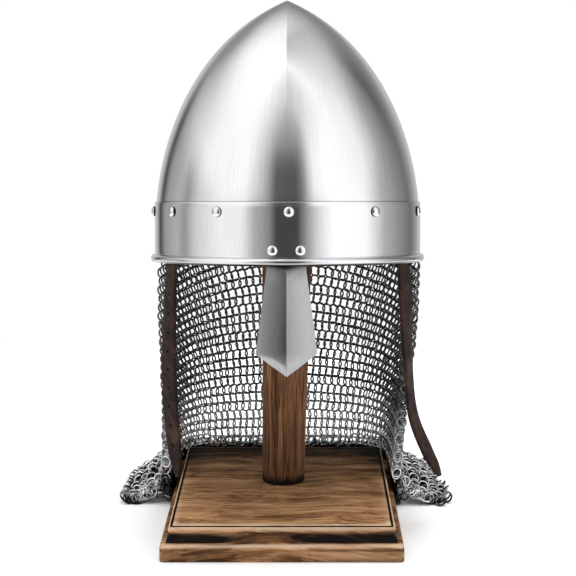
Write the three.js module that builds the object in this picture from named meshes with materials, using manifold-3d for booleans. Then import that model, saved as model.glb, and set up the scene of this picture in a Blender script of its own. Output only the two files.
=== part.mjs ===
// A nasal helmet with a mail aventail, displayed on a wooden stand.
// Millimetres, +Z up. The wearer faces -Y. The origin is on the floor, under the post.
import * as THREE from 'three';
import { mergeVertices } from 'three/addons/utils/BufferGeometryUtils.js';
import Module from 'manifold-3d';

const wasm = await Module();
wasm.setup();

// Clearance between pieces that touch on the real thing.
const fitGap = 0.3;

// Helmet: measured on the photo, with the band taken as 210 mm wide.
const rimHeight = 209.5;
const tiltBack = THREE.MathUtils.degToRad(6.67);
const helmetShift = 3.9;
const bandHalfWidth = 105;
const bandHalfDepth = 118;
const bandThickness = 1.2;
const bandTop = 43.9;
const beadRadius = 2.9;
const beadReach = 3.2;
const skullThickness = 1.6;
const skullHalfWidth = bandHalfWidth - bandThickness - fitGap;
const skullHalfDepth = bandHalfDepth - bandThickness - fitGap;
const depthRatio = skullHalfDepth / skullHalfWidth;

// Facets of the skull: round it, and from the band to the apex outside and inside.
const skullSides = 64;
const outerRows = 15;
const innerRows = 9;

// The dome's side line above the band: half width and height of each control point.
const domeLine = new THREE.CubicBezierCurve(
  new THREE.Vector2(skullHalfWidth, bandTop),
  new THREE.Vector2(102.4, 57.8),
  new THREE.Vector2(92.9, 162),
  new THREE.Vector2(0, 202.4),
);

// The medial ridge stands out of the front and back, most near the apex.
const ridge = { height: 0.05, halfAngle: 0.5, fadeFrom: 85, fadeTo: 185 };

// Rivets: the angle goes round the band from the front, positive towards the wearer's left.
const bandRivetAngles = [1, 38.5, 73, 107, 140, 173, 206, 240, 277, 305, 331];
const bandRivetHeight = 36.5;
const bandRivet = { head: 4, dome: 2.3, shank: 1.8 };
const nasalRivet = { head: 3.6, dome: 2, shank: 1.6 };
const nasalRivetSpread = 10.2;
const nasalRivetHeight = 8.5;
const tailThickness = 1;

// Nasal: a row for each station from the tab down to the tip.
const nasalThickness = 2.2;
const nasalRows = [
  { height: 17, halfWidth: 14.2, crease: 0 },
  { height: -3.4, halfWidth: 14.2, crease: 0 },
  { height: -6, halfWidth: 14.5, crease: 1 },
  { height: -13, halfWidth: 15.4, crease: 3.2 },
  { height: -66.9, halfWidth: 22.5, crease: 3.6 },
  { height: -82.9, halfWidth: 0.9, crease: 3.6 },
];

// Mail, hanging from a wire inside the rim.
const wireRadius = 1.2;
const wireHeight = 4.6;
const mailThickness = 4;
const mailStartAngle = 94;
const mailEndAngle = 262;
const leanRoom = 0.8;
const curtainInset = skullThickness + fitGap + mailThickness / 2 + leanRoom;
const curtainFoot = 28.5;
const footShift = -2.5;
const footHalfWidth = 97.5;
const footHalfDepth = 112;
const footSquareness = 5;
// How far its sides hang out from the straight line, at each share of the drop.
const curtainBulge = [
  { share: 0, out: 0 }, { share: 0.14, out: 3.6 }, { share: 0.29, out: 3.6 },
  { share: 0.43, out: 2.2 }, { share: 0.57, out: 0.6 }, { share: 0.72, out: -1.2 },
  { share: 0.86, out: -2.1 }, { share: 1, out: -2.4 },
];
const heapReach = { right: 44, left: 37 };
const heapHeight = curtainFoot - fitGap;

// Leather straps. Inside the helmet they lie on its wall; below it they follow these rows.
const strapThickness = 2.4;
const strapHalfWidth = 8.5;
const strapRivetHeight = 22;
const strapAngleFromFront = 62;
const strapWallRows = [32, 14, -3];
const straps = {
  left: [
    { x: -88.0, y: -45, z: 141, turn: -52, halfWidth: 8.3 },
    { x: -87.2, y: -41, z: 90, turn: -46, halfWidth: 7.8 },
    { x: -84.8, y: -40, z: 60, turn: -42, halfWidth: 6.6 },
    { x: -83.6, y: -40, z: 49, turn: -42, halfWidth: 4.4 },
    { x: -82.8, y: -40, z: 40, turn: -42, halfWidth: 1.6 },
  ],
  right: [
    { x: 94.6, y: -48, z: 187, turn: 56, halfWidth: 8.5 },
    { x: 97.4, y: -45, z: 133, turn: 68, halfWidth: 8.5 },
    { x: 101.8, y: -42, z: 92, turn: 67, halfWidth: 8.5 },
    { x: 113.2, y: -41, z: 62, turn: 63, halfWidth: 8.4 },
    { x: 119.4, y: -41, z: 50, turn: 60, halfWidth: 5.8 },
    { x: 123.6, y: -41, z: 41, turn: 58, halfWidth: 1.6 },
  ],
};

// Stand.
const boardHalfWidth = 90.8;
const boardFront = -126.4;
const boardBack = 109.3;
const boardTop = 25.4;
const boardCorner = 3;
const postFootRadius = 17;
const postRimRadius = 19.5;
const postLean = 3.2; // how far its middle has moved to the right at the rim
const postEnd = 190;

// The board's moulded edge: how far each point lies inside the board's outline.
const boardEdge = [
  { inset: 1, z: 0 },
  { inset: 0, z: 1.2 },
  { inset: 0, z: 9.8 },
  { inset: 0.9, z: 11.9 },
  { inset: 3, z: 12.6 },
  { inset: 4.4, z: 13.2 },
  { inset: 5.4, z: 16 },
  { inset: 7.2, z: 19.4 },
  { inset: 6.4, z: 21.2 },
  { inset: 6.2, z: 23.2 },
  { inset: 7.4, z: 24.8 },
  { inset: 8.8, z: 24.2 },
  { inset: 10.3, z: boardTop },
];

// The room that the mail leaves for the board, a little outside that edge.
const boardRoom = [
  { inset: -0.4, z: -1 },
  { inset: -0.4, z: 12.6 },
  { inset: 2.6, z: 13.4 },
  { inset: 3.9, z: 13.9 },
  { inset: 5.7, z: 19 },
  { inset: 5.7, z: 25.9 },
  { inset: 12, z: 25.9 },
];

// Colours and finish.
const steel = { color: 0xb9bbbd, roughness: 0.28, metalness: 1 };
const mailSteel = { color: 0x8f9192, roughness: 0.45, metalness: 1 };
const leather = { color: 0x3b2a24, roughness: 0.7, metalness: 0 };
const wood = { color: 0x7a5433, roughness: 0.6, metalness: 0 };

function addMesh(parent, name, geometry, finish) {
  const mesh = new THREE.Mesh(geometry, new THREE.MeshStandardMaterial(finish));
  mesh.name = name;
  parent.add(mesh);
  return mesh;
}

// Skins a row of loops with the same number of points. A loop may shrink to one point.
// An open loft is capped at both ends, pairing each loop's first and last points inwards.
function loft(loops, closed = false) {
  const count = loops[0].length;
  const positions = loops.flatMap((loop) => loop.flatMap((point) => point.toArray()));
  const index = [];
  const rows = closed ? loops.length : loops.length - 1;
  for (let row = 0; row < rows; row += 1) {
    const here = row * count;
    const next = ((row + 1) % loops.length) * count;
    for (let i = 0; i < count; i += 1) {
      const j = (i + 1) % count;
      index.push(here + i, here + j, next + j, here + i, next + j, next + i);
    }
  }
  if (!closed) {
    const last = (loops.length - 1) * count;
    for (let i = 0; i < Math.floor(count / 2); i += 1) {
      const far = count - 1 - i;
      for (const [a, b, c] of [[i, far, i + 1], [i + 1, far, far - 1]]) {
        index.push(a, b, c);
        index.push(last + a, last + c, last + b);
      }
    }
  }
  return cleaned(positions, index);
}

// Joins equal points, drops empty triangles and turns the faces outwards.
function cleaned(positions, index) {
  const raw = new THREE.BufferGeometry();
  raw.setAttribute('position', new THREE.Float32BufferAttribute(positions, 3));
  raw.setIndex(index);
  const merged = mergeVertices(raw, 1e-4);
  const corners = merged.index.array;
  const kept = [];
  for (let i = 0; i < corners.length; i += 3) {
    const [a, b, c] = [corners[i], corners[i + 1], corners[i + 2]];
    if (a !== b && b !== c && c !== a) kept.push(a, b, c);
  }
  merged.setIndex(signedVolume(merged, kept) < 0 ? kept.reverse() : kept);
  merged.computeVertexNormals();
  return merged;
}

function signedVolume(geometry, corners) {
  const place = geometry.getAttribute('position');
  const [a, b, c] = [new THREE.Vector3(), new THREE.Vector3(), new THREE.Vector3()];
  let volume = 0;
  for (let i = 0; i < corners.length; i += 3) {
    a.fromBufferAttribute(place, corners[i]);
    b.fromBufferAttribute(place, corners[i + 1]);
    c.fromBufferAttribute(place, corners[i + 2]);
    volume += a.dot(b.cross(c)) / 6;
  }
  return volume;
}

function toManifold(geometry) {
  const plain = geometry.clone();
  plain.deleteAttribute('normal');
  plain.deleteAttribute('uv');
  const merged = mergeVertices(plain, 1e-4);
  return new wasm.Manifold(new wasm.Mesh({
    numProp: 3,
    vertProperties: new Float32Array(merged.getAttribute('position').array),
    triVerts: new Uint32Array(merged.index.array),
  }));
}

function fromManifold(solid) {
  const mesh = solid.getMesh();
  const geometry = new THREE.BufferGeometry();
  geometry.setAttribute('position', new THREE.Float32BufferAttribute(mesh.vertProperties, 3));
  geometry.setIndex(Array.from(mesh.triVerts));
  geometry.computeVertexNormals();
  return geometry;
}

function cutAway(geometry, tools) {
  let solid = toManifold(geometry);
  for (const tool of tools) solid = solid.subtract(toManifold(tool));
  return fromManifold(solid);
}

// A point of the helmet's oval, at an angle from the front.
function ovalPoint(angle, halfWidth, halfDepth, z) {
  return new THREE.Vector3(halfWidth * Math.sin(angle), -halfDepth * Math.cos(angle), z);
}

// One loop round the helmet. Offset moves it outwards from the oval of that half width.
function helmetLoop(halfWidth, offset, z, sides) {
  const fade = THREE.MathUtils.smoothstep(z, ridge.fadeFrom, ridge.fadeTo);
  return Array.from({ length: sides }, (_, i) => {
    const angle = (i / sides) * Math.PI * 2;
    const fromRidge = Math.min(angle, Math.PI * 2 - angle, Math.abs(angle - Math.PI));
    const near = Math.max(0, 1 - fromRidge / ridge.halfAngle);
    const swell = 1 + ridge.height * fade * near * near;
    const across = Math.max(0, halfWidth + offset);
    const along = Math.max(0, halfWidth * depthRatio + offset);
    return ovalPoint(angle, across * swell, along * swell, z);
  });
}

// The dome's loops from the band's top to the apex, moved inwards by the given depth.
function domeLoops(depth, rows, sides) {
  const loops = [];
  for (let row = 0; row < rows; row += 1) {
    const point = domeLine.getPoint(row / rows);
    const slope = domeLine.getTangent(row / rows);
    loops.push(helmetLoop(point.x, -slope.y * depth, point.y + slope.x * depth, sides));
  }
  const apexDrop = depth / Math.abs(domeLine.getTangent(1).x);
  loops.push(helmetLoop(0, 0, domeLine.v3.y - apexDrop, sides));
  return loops;
}

// The bead of the rolled rim, from the skull's outside over the roll to its inside.
function beadLoops(sides) {
  const centre = bandHalfWidth + beadReach - beadRadius;
  const start = Math.acos((skullHalfWidth - centre) / beadRadius);
  const steps = 8;
  return Array.from({ length: steps + 1 }, (_, i) => {
    const angle = start - (i / steps) * start * 2;
    const offset = centre + beadRadius * Math.cos(angle) - skullHalfWidth;
    return helmetLoop(skullHalfWidth, offset, beadRadius * Math.sin(angle), sides);
  });
}

function buildSkull() {
  const loops = [
    ...domeLoops(0, outerRows, skullSides).reverse(),
    ...beadLoops(skullSides),
    helmetLoop(skullHalfWidth, -skullThickness, -1, skullSides),
    ...domeLoops(skullThickness, innerRows, skullSides),
  ];
  const rivetHoles = bandRivetAngles.map((angle) => rivetHole(angle, bandRivetHeight, bandRivet));
  const strapHoles = Object.keys(straps).map((side) => strapPeg(side, 1.6 + fitGap, 12, 3));
  return cutAway(loft(loops), [...rivetHoles, ...nasalHoles(), ...strapHoles]);
}

function buildBand() {
  const foot = beadRadius + fitGap;
  const outer = fitGap + bandThickness;
  const profile = [
    [fitGap, foot],
    [outer, foot],
    [outer, bandTop - 0.4],
    [outer - 0.4, bandTop],
    [fitGap, bandTop],
  ];
  const loops = profile.map(([offset, z]) => helmetLoop(skullHalfWidth, offset, z, skullSides));
  const holes = bandRivetAngles.map((angle) => rivetHole(angle, bandRivetHeight, bandRivet));
  return cutAway(loft(loops, true), [...holes, ...nasalHoles()]);
}

// The level direction out of the helmet's wall, at an angle from the front.
function wallNormal(angle) {
  const across = Math.sin(angle) / bandHalfWidth;
  return new THREE.Vector3(across, -Math.cos(angle) / bandHalfDepth, 0).normalize();
}

// A straight round tool across the helmet's wall, square to the oval.
function acrossWall(angle, z, profile, sides) {
  const outward = wallNormal(angle);
  const side = new THREE.Vector3(-outward.y, outward.x, 0);
  const start = ovalPoint(angle, bandHalfWidth, bandHalfDepth, z);
  return loft(profile.map(([radius, reach]) => Array.from({ length: sides }, (_, i) => {
    const turn = ((i + 0.5) / sides) * Math.PI * 2;
    return start.clone()
      .addScaledVector(outward, reach)
      .addScaledVector(side, radius * Math.cos(turn))
      .addScaledVector(new THREE.Vector3(0, 0, 1), radius * Math.sin(turn));
  })));
}

function rivetHole(angleDegrees, z, rivet) {
  const angle = THREE.MathUtils.degToRad(angleDegrees);
  const radius = rivet.shank + fitGap;
  return acrossWall(angle, z, [[radius, -12], [radius, 5]], 8);
}

function nasalHoles() {
  return [-1, 1].map((side) => rivetHole(nasalAngle(side), nasalRivetHeight, nasalRivet));
}

function nasalAngle(side) {
  return THREE.MathUtils.radToDeg(Math.asin((side * nasalRivetSpread) / bandHalfWidth));
}

// Head, shank and peened tail, with the plates between them.
function buildRivet(angleDegrees, z, rivet, plates) {
  const tail = -plates - fitGap;
  const profile = [
    [0, fitGap + rivet.dome],
    [rivet.head * 0.55, fitGap + rivet.dome * 0.82],
    [rivet.head * 0.9, fitGap + rivet.dome * 0.42],
    [rivet.head, fitGap],
    [rivet.shank, fitGap],
    [rivet.shank, tail],
    [rivet.shank * 1.6, tail],
    [rivet.shank * 1.3, tail - tailThickness],
    [0, tail - tailThickness],
  ];
  return acrossWall(THREE.MathUtils.degToRad(angleDegrees), z, profile, 8);
}

// The nasal: each station is a loop, front from left to right and back again behind.
function buildNasal() {
  const columns = [-1, -0.5, 0, 0.5, 1];
  const innerWidth = skullHalfWidth - skullThickness - fitGap;
  const innerDepth = skullHalfDepth - skullThickness - fitGap;
  const loops = nasalRows.map((row) => {
    const front = columns.map((column) => {
      const x = column * row.halfWidth;
      const curve = innerDepth * Math.sqrt(1 - (x / innerWidth) ** 2);
      const crease = row.crease * (1 - Math.abs(column));
      return new THREE.Vector3(x, -curve - crease, row.height);
    });
    const back = front.map((point) => point.clone().setY(point.y + nasalThickness));
    return [...front, ...back.reverse()];
  });
  return cutAway(loft(loops), nasalHoles());
}

// Equal steps of the angle from the mail's front edge on the right to that on the left.
function mailAngles(stations) {
  return Array.from({ length: stations }, (_, i) => THREE.MathUtils.degToRad(
    THREE.MathUtils.lerp(mailStartAngle, mailEndAngle, i / (stations - 1)),
  ));
}

function buildWire() {
  const inset = skullThickness + fitGap + wireRadius;
  const loops = mailAngles(28).map((angle) => {
    const across = skullHalfWidth - inset;
    const along = skullHalfDepth - inset;
    return Array.from({ length: 6 }, (_, k) => {
      const turn = (k / 6) * Math.PI * 2;
      const reach = wireRadius * Math.cos(turn);
      const z = wireHeight + wireRadius * Math.sin(turn);
      return ovalPoint(angle, across + reach, along + reach, z);
    });
  });
  return loft(loops);
}

// Where the curtain hangs at the top: the rim's tilted inside, in the stand's frame.
function curtainTop(angle) {
  const along = skullHalfDepth - curtainInset;
  const top = wireHeight - wireRadius - fitGap;
  const local = ovalPoint(angle, skullHalfWidth - curtainInset, along, top);
  local.applyAxisAngle(new THREE.Vector3(1, 0, 0), -tiltBack);
  return local.add(new THREE.Vector3(helmetShift, 0, rimHeight));
}

// Where it meets the heap: a squarer outline, spread by the board behind the stand.
function curtainBottom(angle) {
  const powers = Math.abs(Math.sin(angle)) ** footSquareness
    + Math.abs(Math.cos(angle)) ** footSquareness;
  const swell = powers ** (-1 / footSquareness);
  const point = ovalPoint(angle, footHalfWidth * swell, footHalfDepth * swell, curtainFoot);
  return point.add(new THREE.Vector3(footShift, 0, 0));
}

function bulgeAt(share) {
  const after = Math.max(1, curtainBulge.findIndex((row) => row.share >= share));
  const [from, to] = [curtainBulge[after - 1], curtainBulge[after]];
  return THREE.MathUtils.mapLinear(share, from.share, to.share, from.out, to.out);
}

// The curtain's middle surface. It hangs straight from the rim and spreads lower down.
function curtainPoint(angle, share) {
  const [top, bottom] = [curtainTop(angle), curtainBottom(angle)];
  const spread = share ** 1.6;
  const x = THREE.MathUtils.lerp(top.x, bottom.x, spread) + bulgeAt(share) * Math.sin(angle);
  const y = THREE.MathUtils.lerp(top.y, bottom.y, spread);
  return new THREE.Vector3(x, y, THREE.MathUtils.lerp(top.z, bottom.z, share));
}

// The level outward direction of the curtain at an angle and a height share.
function outwardAt(angle, share) {
  const step = 0.02;
  const along = curtainPoint(angle + step, share).sub(curtainPoint(angle - step, share));
  return new THREE.Vector3(along.y, -along.x, 0).normalize();
}

function buildCurtain() {
  const rows = 7;
  const loops = mailAngles(36).map((angle) => {
    const outer = [];
    const inner = [];
    for (let row = 0; row <= rows; row += 1) {
      const share = row / rows;
      const middle = curtainPoint(angle, share);
      const outward = outwardAt(angle, share);
      outer.push(middle.clone().addScaledVector(outward, mailThickness / 2));
      inner.push(middle.clone().addScaledVector(outward, -mailThickness / 2));
    }
    return [...outer, ...inner.reverse()];
  });
  return loft(loops);
}

// The heap's section: reach outwards from the curtain, and height as a share of the crest.
const heapSection = [
  { out: -0.16, up: 0 },
  { out: -0.2, up: 0.3 },
  { out: -0.15, up: 0.75 },
  { out: -0.08, up: 1 },
  { out: 0.1, up: 1 },
  { out: 0.35, up: 0.86 },
  { out: 0.58, up: 0.64 },
  { out: 0.82, up: 0.42 },
  { out: 1, up: 0.22 },
  { out: 0.93, up: 0 },
];

function buildHeap() {
  const angles = mailAngles(40);
  const loops = angles.map((angle, station) => {
    const middle = curtainBottom(angle);
    const outward = outwardAt(angle, 1);
    const share = station / (angles.length - 1);
    const size = THREE.MathUtils.lerp(heapReach.right, heapReach.left, share);
    const fromEnd = Math.min(share, 1 - share);
    const taper = 0.7 + 0.3 * Math.min(1, fromEnd * 12) ** 0.5;
    const rise = 0.35 + 0.65 * Math.min(1, fromEnd * 11); // it slopes down to the floor in front
    const ripple = 1 + 0.07 * Math.sin(share * 41 - 1) + 0.04 * Math.sin(share * 23 + 1);
    return heapSection.map(({ out, up }) => {
      const outside = out > 0.1;
      const reach = outside ? out * taper * ripple : out;
      const height = outside ? Math.min(1, up * rise * (0.9 + 0.1 * ripple)) : up;
      return new THREE.Vector3(middle.x, middle.y, height * heapHeight)
        .addScaledVector(outward, reach * size);
    });
  });
  return cutAway(loft(loops), [buildBoard(boardRoom)]);
}

// The strap's angle from the front, and its flat side against the skull's curved inside.
function strapAngle(side) {
  const angle = THREE.MathUtils.degToRad(strapAngleFromFront);
  return side === 'left' ? -angle : angle;
}

function strapWallRow(side, height) {
  const curveRoom = strapHalfWidth ** 2 / (2 * skullHalfWidth);
  const inset = skullThickness + fitGap + curveRoom + strapThickness / 2;
  const angle = strapAngle(side);
  const centre = ovalPoint(angle, skullHalfWidth - inset, skullHalfDepth - inset, height);
  const outward = wallNormal(angle).applyAxisAngle(new THREE.Vector3(1, 0, 0), -tiltBack);
  centre.applyAxisAngle(new THREE.Vector3(1, 0, 0), -tiltBack);
  centre.add(new THREE.Vector3(helmetShift, 0, rimHeight));
  const across = new THREE.Vector3(0, 0, 1).cross(outward);
  const turn = THREE.MathUtils.radToDeg(Math.atan2(across.y, across.x));
  return { x: centre.x, y: centre.y, z: centre.z, turn, halfWidth: strapHalfWidth };
}

// A strap: four corners at each station, its face turned about the upright.
function buildStrap(side) {
  const rows = [...strapWallRows.map((height) => strapWallRow(side, height)), ...straps[side]];
  const path = new THREE.CatmullRomCurve3(rows.map(({ x, y, z }) => new THREE.Vector3(x, y, z)));
  const last = rows.length - 1;
  const steps = last * 3;
  const loops = Array.from({ length: steps + 1 }, (_, i) => {
    const share = i / steps;
    const row = Math.min(last - 1, Math.floor(share * last));
    const blend = share * last - row;
    const [from, to] = [rows[row], rows[row + 1]];
    const turn = THREE.MathUtils.degToRad(THREE.MathUtils.lerp(from.turn, to.turn, blend));
    const half = THREE.MathUtils.lerp(from.halfWidth, to.halfWidth, blend);
    const middle = path.getPoint(share);
    const across = new THREE.Vector3(Math.cos(turn), Math.sin(turn), 0);
    const along = path.getTangent(share);
    const out = new THREE.Vector3().crossVectors(across, along).normalize();
    const corners = [[-1, -1], [1, -1], [1, 1], [-1, 1]];
    return corners.map(([u, v]) => middle.clone()
      .addScaledVector(across, u * half)
      .addScaledVector(out, (v * strapThickness) / 2));
  });
  return cutAway(loft(loops), [strapPegInStandFrame(side)]);
}

function strapPeg(side, radius, inside, outside) {
  const profile = [[radius, -inside], [radius, outside]];
  return acrossWall(strapAngle(side), strapRivetHeight, profile, 8);
}

function strapPegInStandFrame(side) {
  const peg = strapPeg(side, 1.6 + fitGap, 14, 3);
  peg.rotateX(-tiltBack);
  peg.translate(helmetShift, 0, rimHeight);
  return peg;
}

function buildStrapRivet(side) {
  const flush = -bandThickness - fitGap - 0.05;
  const inside = -bandThickness - fitGap - skullThickness - strapThickness - fitGap * 4;
  const profile = [
    [0, flush],
    [1.6, flush],
    [1.6, inside],
    [3.6, inside],
    [2.8, inside - 1.4],
    [0, inside - 1.4],
  ];
  return acrossWall(strapAngle(side), strapRivetHeight, profile, 8);
}

// One loop round the board, inside its outline by an inset.
function boardLoop(inset, z) {
  const halfWidth = boardHalfWidth - inset;
  const halfDepth = (boardBack - boardFront) / 2 - inset;
  const middle = (boardBack + boardFront) / 2;
  const radius = Math.max(0.8, boardCorner - Math.max(0, inset) * 0.2);
  const steps = 3;
  const loop = [];
  for (const [quarter, sx, sy] of [[0, 1, 1], [1, -1, 1], [2, -1, -1], [3, 1, -1]]) {
    for (let i = 0; i <= steps; i += 1) {
      const turn = (quarter + i / steps) * Math.PI * 0.5;
      const x = sx * (halfWidth - radius) + radius * Math.cos(turn);
      const y = sy * (halfDepth - radius) + radius * Math.sin(turn) + middle;
      loop.push(new THREE.Vector3(x, y, z));
    }
  }
  return loop;
}

function buildBoard(edge) {
  return loft(edge.map(({ inset, z }) => boardLoop(inset, z)));
}

function buildPost() {
  const sides = 40;
  const circle = (radius, z) => Array.from({ length: sides }, (_, i) => {
    const turn = (i / sides) * Math.PI * 2;
    const shift = (postLean * (z - boardTop)) / (rimHeight - boardTop);
    return new THREE.Vector3(radius * Math.cos(turn) + shift, radius * Math.sin(turn), z);
  });
  const foot = boardTop + fitGap;
  const post = loft([
    circle(postFootRadius - 0.8, foot),
    circle(postFootRadius, foot + 0.8),
    circle(postRimRadius, rimHeight),
    circle(postRimRadius, rimHeight + postEnd + 20),
  ]);
  const room = loft([
    helmetLoop(skullHalfWidth, -skullThickness - fitGap, -20, skullSides),
    ...domeLoops(skullThickness + fitGap, innerRows, skullSides),
  ]);
  const flat = new THREE.BoxGeometry(300, 300, 60).translate(0, 0, postEnd + 30);
  const inside = toManifold(room).subtract(toManifold(flat));
  const turned = fromManifold(inside);
  turned.rotateX(-tiltBack);
  turned.translate(helmetShift, 0, rimHeight);
  const head = toManifold(post).intersect(toManifold(turned));
  const below = new THREE.BoxGeometry(100, 100, rimHeight).translate(0, 0, rimHeight / 2);
  const shaft = toManifold(post).intersect(toManifold(below));
  return fromManifold(head.add(shaft));
}

const part = new THREE.Group();
part.name = 'nasal_helmet_on_stand';

const helmet = new THREE.Group();
helmet.name = 'helmet';
helmet.position.set(helmetShift, 0, rimHeight);
helmet.rotation.x = -tiltBack;
part.add(helmet);

addMesh(helmet, 'skull', buildSkull(), steel);
addMesh(helmet, 'brow_band', buildBand(), steel);
addMesh(helmet, 'nasal', buildNasal(), steel);

const wallPlates = bandThickness + fitGap + skullThickness;
bandRivetAngles.forEach((angle, i) => {
  const name = `band_rivet_${String(i + 1).padStart(2, '0')}`;
  addMesh(helmet, name, buildRivet(angle, bandRivetHeight, bandRivet, wallPlates), steel);
});

const nasalPlates = wallPlates + fitGap + nasalThickness;
for (const [side, sign] of [['left', -1], ['right', 1]]) {
  const angle = nasalAngle(sign);
  const rivet = buildRivet(angle, nasalRivetHeight, nasalRivet, nasalPlates);
  addMesh(helmet, `nasal_rivet_${side}`, rivet, steel);
  addMesh(helmet, `strap_rivet_${side}`, buildStrapRivet(side), steel);
  addMesh(part, `strap_${side}`, buildStrap(side), leather);
}

addMesh(helmet, 'mail_wire', buildWire(), mailSteel);
addMesh(part, 'mail_curtain', buildCurtain(), mailSteel);
addMesh(part, 'mail_heap', buildHeap(), mailSteel);
addMesh(part, 'stand_base', buildBoard(boardEdge), wood);
addMesh(part, 'stand_post', buildPost(), wood);

export default part;
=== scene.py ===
# Nasal helmet with a mail aventail on its wooden stand: the finished looks, round the CAD frame.
import math
import random

import bmesh
import bpy
import numpy as np
from mathutils import Matrix, Vector


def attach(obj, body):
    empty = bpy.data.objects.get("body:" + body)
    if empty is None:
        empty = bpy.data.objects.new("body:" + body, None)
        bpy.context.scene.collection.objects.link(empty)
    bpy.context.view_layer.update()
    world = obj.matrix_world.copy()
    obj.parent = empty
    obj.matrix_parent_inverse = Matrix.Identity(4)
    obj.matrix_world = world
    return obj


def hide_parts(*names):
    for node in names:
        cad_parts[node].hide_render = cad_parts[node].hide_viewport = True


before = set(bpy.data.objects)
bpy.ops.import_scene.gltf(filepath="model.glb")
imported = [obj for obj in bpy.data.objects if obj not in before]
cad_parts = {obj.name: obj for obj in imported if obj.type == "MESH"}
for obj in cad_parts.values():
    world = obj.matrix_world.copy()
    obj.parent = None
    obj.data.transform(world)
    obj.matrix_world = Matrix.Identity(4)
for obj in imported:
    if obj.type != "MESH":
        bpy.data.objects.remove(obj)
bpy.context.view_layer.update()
mm = 0.001
tau = 2 * math.pi

# sizes that several pieces share, in millimetres and degrees, as in the part's source
helmet = {
    "rimHeight": 209.5, "tiltBack": 6.67, "shift": 3.9,
    "halfWidth": 103.5, "halfDepth": 116.5, "wall": 1.6,
    "bandTop": 43.9, "bandWall": 1.2, "gap": 0.3,
    "beadRadius": 2.9, "beadReach": 3.2, "meanRadius": 110, "seamShade": 0.75,
    "domeLine": [(103.5, 43.9), (102.4, 57.8), (92.9, 162.0), (0.0, 202.4)],
}
depthRatio = helmet["halfDepth"] / helmet["halfWidth"]
bandOutside = [helmet[half] + helmet["gap"] + helmet["bandWall"] for half in ("halfWidth", "halfDepth")]
boardSize = {"halfWidth": 90.8, "front": -126.4, "back": 109.3, "top": 25.4}


# small helpers

def srgb(code):  # "#rrggbb" to linear
    parts = [int(code[i:i + 2], 16) / 255 for i in (1, 3, 5)]
    return [c / 12.92 if c <= 0.04045 else ((c + 0.055) / 1.055) ** 2.4 for c in parts] + [1]


def addNode(tree, kind, links=None, **settings):
    node = tree.nodes.new(kind)
    for key, value in settings.items():
        setattr(node, key, value)
    for socket, value in (links or {}).items():
        target = node.inputs[socket]
        if isinstance(value, bpy.types.NodeSocket):
            tree.links.new(value, target)
        else:
            target.default_value = value
    return node


def newMaterial(name):
    material = bpy.data.materials.new(name)
    material.use_nodes = True
    tree = material.node_tree
    return material, tree, tree.nodes["Principled BSDF"]


def colourRamp(tree, factor, stops):
    node = addNode(tree, "ShaderNodeValToRGB", {"Fac": factor})
    ramp = node.color_ramp
    while len(ramp.elements) < len(stops):
        ramp.elements.new(0.5)
    for element, (place, code) in zip(ramp.elements, stops):
        element.position = place
        element.color = srgb(code)
    return node.outputs["Color"]


def mixColours(tree, factor, first, second):
    links = {"Factor": factor, 6: first, 7: second}  # 6 and 7 are the node's two colours
    return addNode(tree, "ShaderNodeMix", links, data_type="RGBA").outputs[2]


def meshObject(name, verts, faces, material=None, smooth=True):
    mesh = bpy.data.meshes.new(name)
    mesh.from_pydata([tuple(v) for v in verts], [], faces)
    mesh.validate()
    piece = bpy.data.objects.new(name, mesh)
    bpy.context.collection.objects.link(piece)
    if material:
        mesh.materials.append(material)
    if smooth:
        mesh.polygons.foreach_set("use_smooth", [True] * len(mesh.polygons))
    return piece


def loftMesh(name, loops, material, closed=False, caps=True):
    count = len(loops[0])
    verts = [p for loop in loops for p in loop]
    faces = []
    rows = len(loops) if closed else len(loops) - 1
    for r in range(rows):
        a, b = r * count, ((r + 1) % len(loops)) * count
        for i in range(count):
            j = (i + 1) % count
            faces.append((a + i, a + j, b + j, b + i))
    if caps and not closed:
        faces.append(tuple(range(count - 1, -1, -1)))
        faces.append(tuple(range((len(loops) - 1) * count, len(loops) * count)))
    return tidyMesh(meshObject(name, verts, faces, material))


def tidyMesh(piece, sharpAngle=32):
    bm = bmesh.new()
    bm.from_mesh(piece.data)
    bmesh.ops.remove_doubles(bm, verts=bm.verts, dist=1e-6)
    bmesh.ops.dissolve_degenerate(bm, dist=1e-7, edges=bm.edges)
    bmesh.ops.recalc_face_normals(bm, faces=bm.faces)
    for edge in bm.edges:
        edge.smooth = len(edge.link_faces) != 2 or edge.calc_face_angle() < math.radians(sharpAngle)
    bm.to_mesh(piece.data)
    bm.free()
    return piece


def applied(piece):  # the evaluated mesh takes the place of the piece's own
    graph = bpy.context.evaluated_depsgraph_get()
    mesh = bpy.data.meshes.new_from_object(piece.evaluated_get(graph), depsgraph=graph)
    mesh.name = piece.name
    piece.modifiers.clear()
    piece.data = mesh
    return piece


def bezier(points, t):
    a, b, c, d = points
    s = 1 - t
    return tuple(s**3 * a[k] + 3 * s * s * t * b[k] + 3 * s * t * t * c[k] + t**3 * d[k] for k in (0, 1))


def bezierSlope(points, t):
    a, b, c, d = points
    s = 1 - t
    x, z = (s * s * (b[k] - a[k]) + 2 * s * t * (c[k] - b[k]) + t * t * (d[k] - c[k]) for k in (0, 1))
    size = math.hypot(x, z)
    return x / size, z / size


def smoothstep(x, low, high):
    x = min(1, max(0, (x - low) / (high - low)))
    return x * x * (3 - 2 * x)


def helmetToStand(x, y, z):  # the helmet leans back on its post
    t = math.radians(helmet["tiltBack"])
    y, z = y * math.cos(t) + z * math.sin(t), z * math.cos(t) - y * math.sin(t)
    return Vector((x + helmet["shift"], y, z + helmet["rimHeight"])) * mm


# metal

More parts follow.
